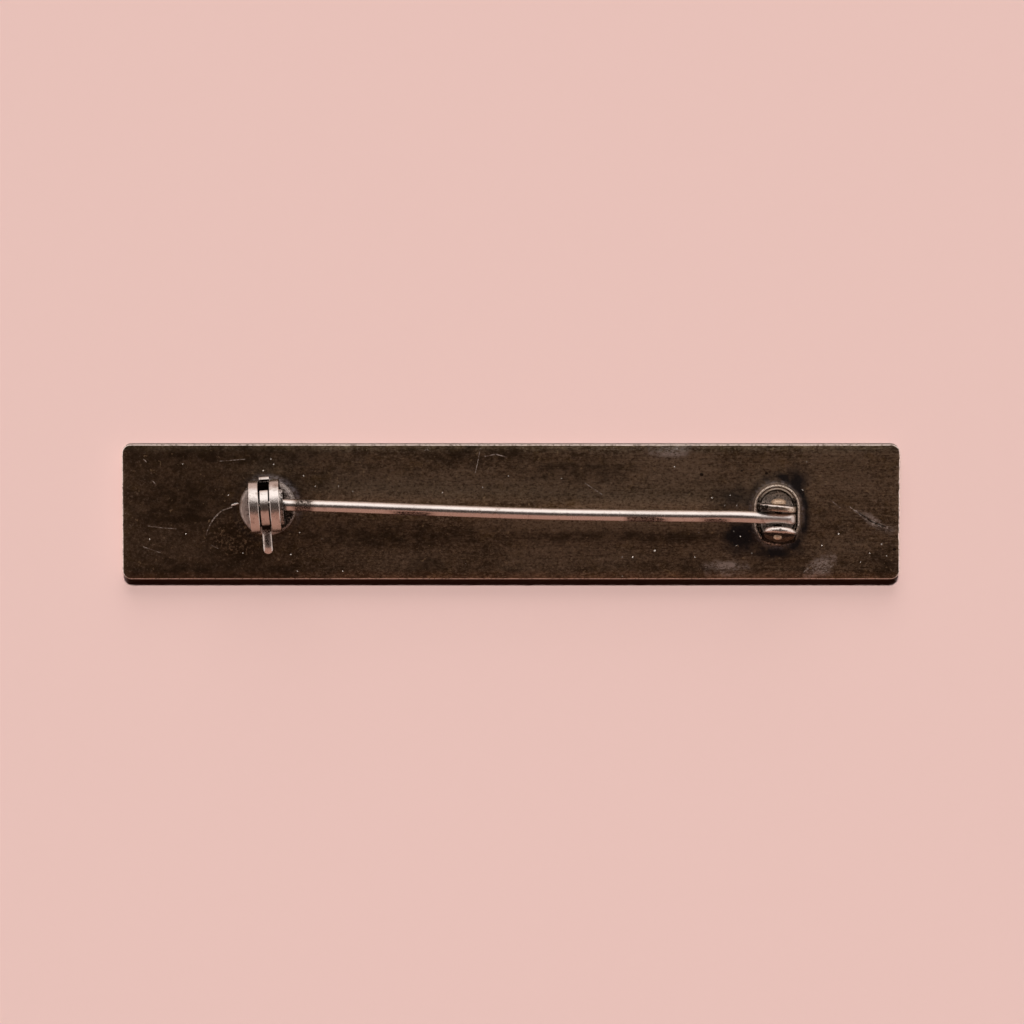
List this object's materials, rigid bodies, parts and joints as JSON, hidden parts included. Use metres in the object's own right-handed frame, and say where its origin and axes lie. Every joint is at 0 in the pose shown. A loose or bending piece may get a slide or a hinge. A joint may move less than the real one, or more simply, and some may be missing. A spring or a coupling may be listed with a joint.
{
  "type": "bar brooch",
  "caption": "Narrow rectangular brooch in darkened silver, its back with a hinged pin stem and a round catch that a small turning lever locks.",
  "frame": {"origin": "middle of the plain front face, on the surface that the brooch lies on, face down", "axes": "+X along the bar towards the hinge end, +Y across the bar towards the catch's stop lip, +Z out of the back face"},
  "size_m": [0.06, 0.0104, 0.0057],
  "materials": {
    "plate_silver": "sterling silver under dark brown tarnish, mottled, with fine brush lines along the bar and bright worn edges",
    "worn_silver": "worn bright sterling silver with brown tarnish specks",
    "brown_silver": "sterling silver with golden brown tarnish, grey in the dish, bright on the ears' top edges"
  },
  "bodies": {
    "brooch": {"plate": "plate_silver", "catch_housing": "worn_silver", "hinge_joint": "brown_silver", "hinge_rivet": "brown_silver"},
    "lock": {"catch_roller": "worn_silver"},
    "pin": {"pin_stem": "worn_silver"}
  },
  "joints": [
    {"name": "stem_hinge", "type": "hinge", "parent": "brooch", "child": "pin", "pos_m": [0.02053, -0.00027, 0.00365], "axis": [0.0241, 0.9997, 0], "range_deg": [0, 110]},
    {"name": "catch_lever", "type": "hinge", "parent": "brooch", "child": "lock", "pos_m": [-0.01888, 0.00068, 0.00365], "axis": [-0.9977, -0.068, 0], "range_deg": [0, 173]}
  ]
}
